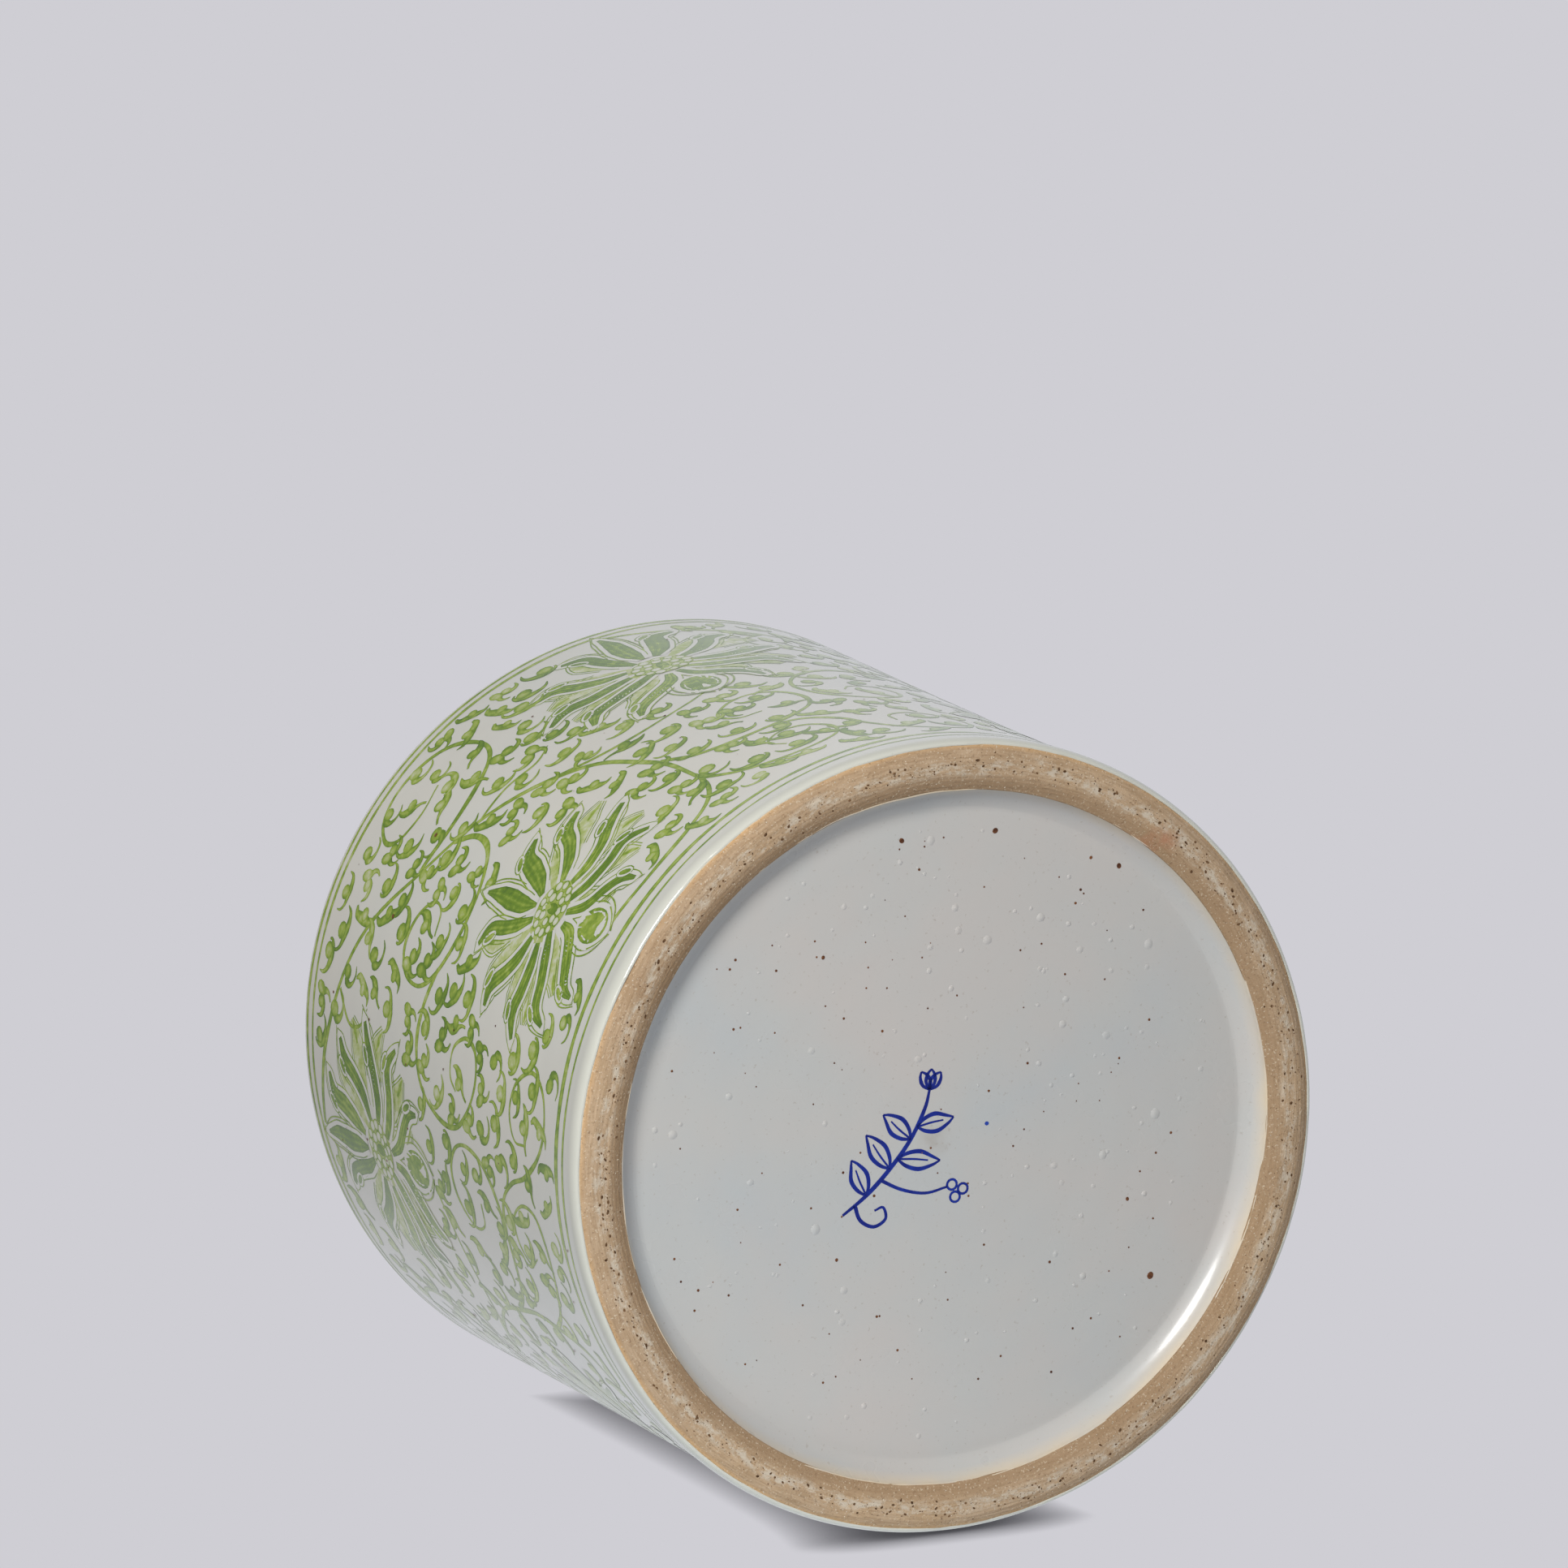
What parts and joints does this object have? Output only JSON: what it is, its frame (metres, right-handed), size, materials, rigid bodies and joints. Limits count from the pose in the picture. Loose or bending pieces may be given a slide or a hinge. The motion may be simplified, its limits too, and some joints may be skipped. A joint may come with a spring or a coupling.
{
  "type": "brush pot",
  "caption": "Slightly waisted cylindrical porcelain pot for writing brushes, glazed inside and out, on a low unglazed foot ring, painted round the wall.",
  "frame": {"origin": "centre of the circle that the foot ring stands on", "axes": "+Z along the axis of the pot, from the foot to the rim; the turn about Z is free"},
  "size_m": [0.1978, 0.1978, 0.1736],
  "materials": {
    "biscuit_clay": "unglazed fired clay, fine grained, turned, worn pale on the contact line",
    "outside_glaze": "glossy pale greenish white glaze",
    "inside_glaze": "glossy pale greyish white glaze",
    "underside_glaze": "soft gloss grey white glaze with iron specks and pinholes",
    "green_enamel": "glossy translucent yellow green enamel",
    "blue_mark": "cobalt blue under the glaze"
  },
  "bodies": {
    "root": {"foot_ring": "biscuit_clay", "base_slab": "biscuit_clay", "body_wall": "biscuit_clay", "outside_glaze": "outside_glaze", "inside_glaze": "inside_glaze", "underside_glaze": "underside_glaze", "enamel_line_foot_low": "green_enamel", "enamel_line_foot_high": "green_enamel", "enamel_line_rim_low": "green_enamel", "enamel_line_rim_high": "green_enamel"}
  },
  "joints": []
}
